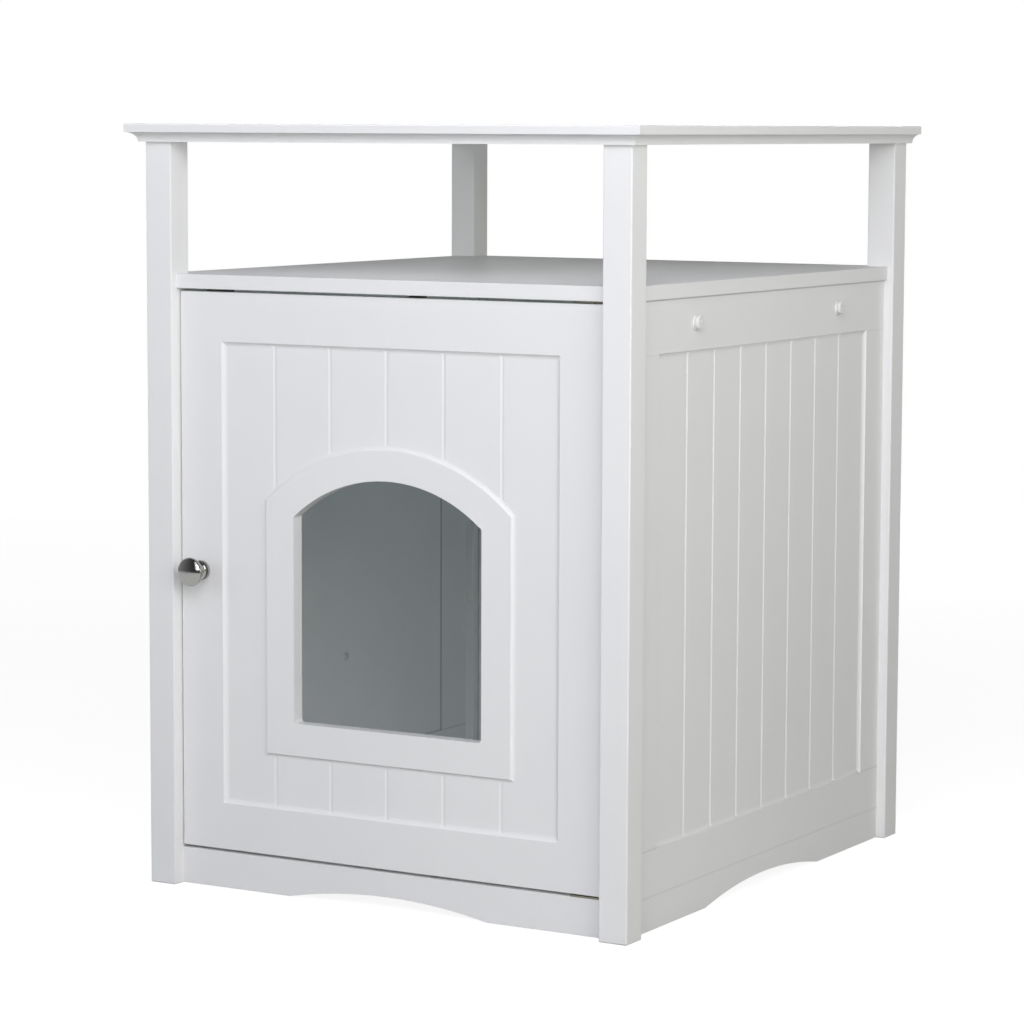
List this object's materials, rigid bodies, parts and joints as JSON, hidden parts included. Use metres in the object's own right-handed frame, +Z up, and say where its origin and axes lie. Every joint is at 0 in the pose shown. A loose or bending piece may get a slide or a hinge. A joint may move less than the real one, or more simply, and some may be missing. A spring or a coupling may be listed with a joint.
{
  "type": "litter box cover",
  "caption": "White cabinet that hides a cat's litter box, with a hinged beadboard door, an arched doorway, an open shelf bay and a moulded top.",
  "frame": {"origin": "bottom centre of the bounding box: the floor, under the middle of the top board", "axes": "+Z up, front and door towards -Y, +X towards the hinged side of the door"},
  "size_m": [0.485, 0.5296, 0.64],
  "materials": {
    "white_paint": "satin white paint over MDF and solid wood",
    "white_plastic": "moulded white plastic, slightly glossy",
    "zinc_steel": "bright zinc-plated steel",
    "hinge_brass": "dull yellow-passivated plate",
    "catch_plastic": "brown moulded plastic",
    "magnet": "black sintered ferrite",
    "beech": "plain beech dowel rod",
    "knob_chrome": "polished chrome plate"
  },
  "bodies": {
    "cabinet": {"top_board": "white_paint", "shelf_board": "white_paint", "floor_board": "white_paint", "back_panel": "white_paint", "front_left_post": "white_paint", "front_right_post": "white_paint", "rear_left_post": "white_paint", "rear_right_post": "white_paint", "left_top_rail": "white_paint", "left_bottom_rail": "white_paint", "left_front_stile": "white_paint", "left_rear_stile": "white_paint", "left_beadboard": "white_paint", "right_top_rail": "white_paint", "right_bottom_rail": "white_paint", "right_front_stile": "white_paint", "right_rear_stile": "white_paint", "right_beadboard": "white_paint", "front_apron": "white_paint", "rear_apron": "white_paint", "left_apron": "white_paint", "right_apron": "white_paint", "front_hook_peg": "white_plastic", "rear_hook_peg": "white_plastic", "hook_peg_screws": "zinc_steel", "top_hinge_plate": "hinge_brass", "bottom_hinge_plate": "hinge_brass", "hinge_plate_screws": "hinge_brass", "catch_housing": "catch_plastic", "catch_pole_plates": "zinc_steel", "catch_magnet": "magnet", "catch_screws": "zinc_steel", "door_stop": "catch_plastic", "door_stop_screw": "zinc_steel", "top_dowels": "beech", "shelf_dowels": "beech", "floor_dowels": "beech", "apron_dowels": "beech", "side_frame_dowels": "beech", "back_cam_locks": "zinc_steel", "back_cam_bolts": "zinc_steel"},
    "door": {"door_panel": "white_paint", "door_knob": "knob_chrome", "knob_screw": "zinc_steel", "top_pivot_pin": "zinc_steel", "bottom_pivot_pin": "zinc_steel", "strike_plate": "zinc_steel", "strike_screw": "zinc_steel"}
  },
  "joints": [
    {"name": "door_hinge", "type": "hinge", "parent": "cabinet", "child": "door", "pos_m": [0.192, -0.23505, 0.0333], "axis": [0, 0, 1], "range_deg": [0, 100]}
  ]
}
